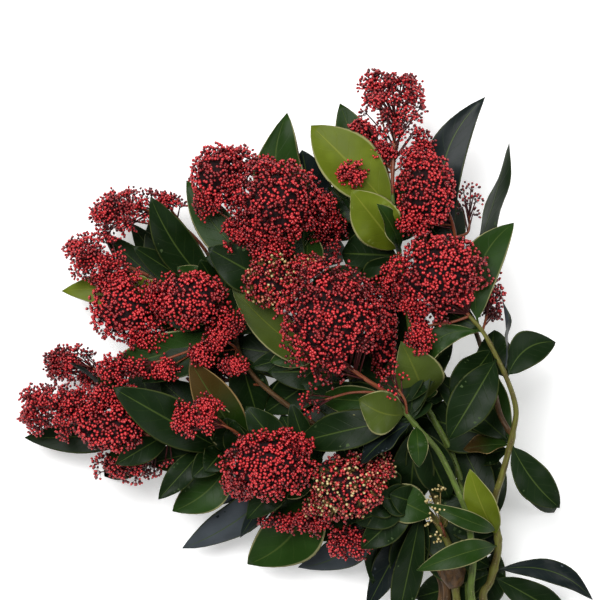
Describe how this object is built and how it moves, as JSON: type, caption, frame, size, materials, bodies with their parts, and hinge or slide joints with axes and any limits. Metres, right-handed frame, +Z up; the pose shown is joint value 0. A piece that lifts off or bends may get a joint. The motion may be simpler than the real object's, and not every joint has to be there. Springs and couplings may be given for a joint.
{
  "type": "cut skimmia bunch",
  "caption": "A cut bunch of flowering skimmia that lies on its side: woody stems gathered at the foot, glossy leaves and dense heads of red flower buds.",
  "frame": {"origin": "On the floor, below the middle of the bounding box of the bunch as it lies.", "axes": "+Z up from the floor the bunch lies on; +Y towards the flower heads at the top of the picture, the longest extent, with the cut stem ends at -Y; +X to the right."},
  "size_m": [0.481, 0.5431, 0.1566],
  "materials": {
    "stem_wood": "young olive-brown bark, satin",
    "leaf_green": "dark green leaf, glossy",
    "bud_red": "crimson flower buds, waxy",
    "bud_mixed": "crimson and cream-green flower buds, waxy",
    "bud_green": "cream-green flower buds, waxy"
  },
  "bodies": {
    "root": {"bough_inner": "stem_wood", "bough_lower": "stem_wood", "bough_right": "stem_wood", "bough_right_low": "stem_wood", "bough_top": "stem_wood", "bough_upper_left": "stem_wood", "leaves_back": "leaf_green", "leaves_elbow": "leaf_green", "leaves_far_left": "leaf_green", "leaves_far_upper_left": "leaf_green", "leaves_foot_right": "leaf_green", "leaves_front": "leaf_green", "leaves_inner": "leaf_green", "leaves_left": "leaf_green", "leaves_lower": "leaf_green", "leaves_lower_front": "leaf_green", "leaves_lower_left": "leaf_green", "leaves_middle": "leaf_green", "leaves_outer_left": "leaf_green", "leaves_right": "leaf_green", "leaves_top": "leaf_green", "leaves_upper_left": "leaf_green", "leaves_upper_right": "leaf_green", "panicle_far_left": "bud_red", "panicle_far_upper_left": "bud_red", "panicle_front": "bud_red", "panicle_inner_right": "bud_red", "panicle_left_inner": "bud_red", "panicle_left_outer": "bud_red", "panicle_lower_front": "bud_red", "panicle_lower_left": "bud_red", "panicle_lower_middle": "bud_mixed", "panicle_middle": "bud_mixed", "panicle_outer_left": "bud_red", "panicle_right": "bud_red", "panicle_top": "bud_red", "panicle_top_left": "bud_red", "panicle_under_left": "bud_red", "panicle_upper_left": "bud_red", "panicle_upper_right": "bud_red", "sprig_back": "bud_red", "sprig_edge_left": "bud_red", "sprig_far_right": "bud_red", "sprig_front": "bud_red", "sprig_front_left": "bud_red", "sprig_green": "bud_green", "sprig_left": "bud_red", "sprig_low": "bud_red", "sprig_middle_low": "bud_red", "sprig_over_left": "bud_red", "sprig_right_edge": "bud_red", "sprig_right_low": "bud_red", "stem_front": "stem_wood", "stem_left": "stem_wood", "stem_lower": "stem_wood", "stem_lower_left": "stem_wood", "stem_right": "stem_wood", "stem_top": "stem_wood", "stem_upper_left": "stem_wood"}
  },
  "joints": []
}
